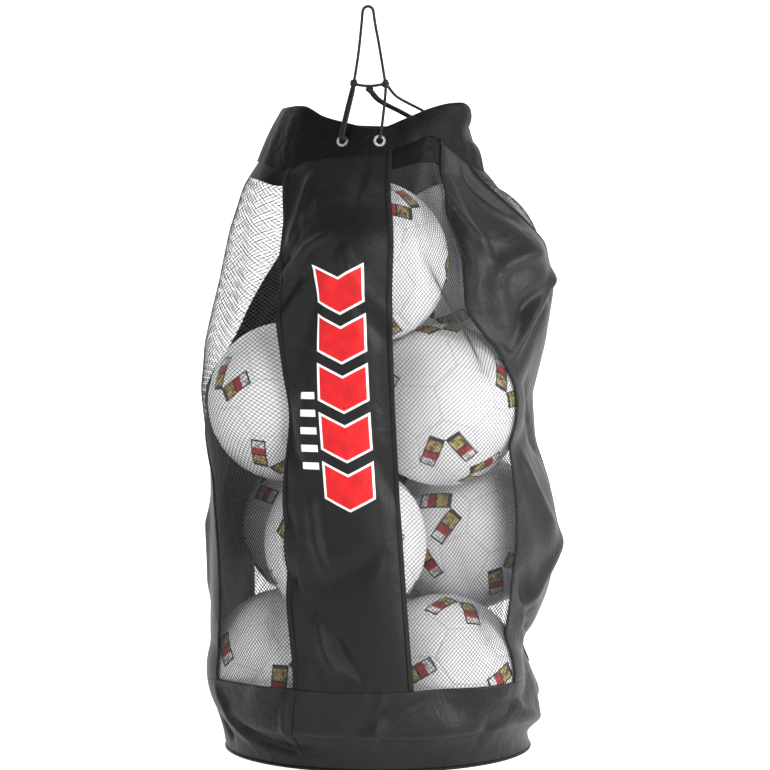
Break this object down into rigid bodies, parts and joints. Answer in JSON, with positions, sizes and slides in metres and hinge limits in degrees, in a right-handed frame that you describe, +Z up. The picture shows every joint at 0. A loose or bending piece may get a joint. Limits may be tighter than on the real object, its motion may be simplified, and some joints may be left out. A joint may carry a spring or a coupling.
{
  "type": "mesh ball bag",
  "caption": "Drawcord mesh ball bag standing packed with footballs: tough cloth base, cloth panels, net windows, folded collar and a cord hanging loop.",
  "frame": {"origin": "centre of the base panel's underside, on the floor that the bag stands on", "axes": "+Z up through the mouth; -Y is the front, where the printed panel and the front eyelets are; +X is the viewer's right"},
  "size_m": [0.4844, 0.4844, 1.0152],
  "materials": {
    "base_cloth": "matte",
    "panel_cloth": "matte",
    "net": "matte",
    "binding_tape": "matte",
    "collar_cloth": "matte",
    "eyelet_metal": "satin",
    "drawcord": "matte",
    "ball_cover": "satin",
    "ball_bladder": "matte",
    "ball_valve": "matte"
  },
  "bodies": {
    "bag": {"base_panel": "base_cloth", "base_band": "base_cloth", "base_piping": "binding_tape", "front_panel": "panel_cloth", "front_net_window": "net", "front_binding_left": "binding_tape", "front_binding_right": "binding_tape", "right_panel": "panel_cloth", "right_net_window": "net", "right_binding_left": "binding_tape", "right_binding_right": "binding_tape", "back_panel": "panel_cloth", "back_net_window": "net", "back_binding_left": "binding_tape", "back_binding_right": "binding_tape", "left_panel": "panel_cloth", "left_net_window": "net", "left_binding_left": "binding_tape", "left_binding_right": "binding_tape", "collar": "collar_cloth", "neck_tape": "binding_tape", "eyelet_front_left": "eyelet_metal", "washer_front_left": "eyelet_metal", "eyelet_front_right": "eyelet_metal", "washer_front_right": "eyelet_metal", "eyelet_rear_left": "eyelet_metal", "washer_rear_left": "eyelet_metal", "eyelet_rear_right": "eyelet_metal", "washer_rear_right": "eyelet_metal", "tie_strand": "drawcord", "left_strand_outer": "drawcord", "left_strand_inner": "drawcord", "right_strand": "drawcord", "mouth_strand_short": "drawcord", "mouth_strand_lower": "drawcord", "mouth_strand_upper": "drawcord", "knot_left": "drawcord", "knot_right": "drawcord", "knot_tie": "drawcord", "channel_cord_upper": "drawcord", "channel_cord_lower": "drawcord", "channel_cord_right": "drawcord", "ball_layer1_1": "ball_cover", "ball_layer1_2": "ball_cover", "ball_layer1_3": "ball_cover", "ball_layer2_1": "ball_cover", "ball_layer2_2": "ball_cover", "ball_layer2_3": "ball_cover", "ball_layer3_1": "ball_cover", "ball_layer3_2": "ball_cover", "ball_layer3_3": "ball_cover", "ball_layer4_1": "ball_cover", "ball_layer4_2": "ball_cover", "ball_bladders": "ball_bladder", "ball_valves": "ball_valve"},
    "hang_loop": {"hang_loop": "drawcord"}
  },
  "joints": [
    {"name": "hang_loop_tilt", "type": "hinge", "parent": "bag", "child": "hang_loop", "pos_m": [0, -0.132, 0.914], "axis": [1, 0, 0], "range_deg": [-85, 110]}
  ]
}
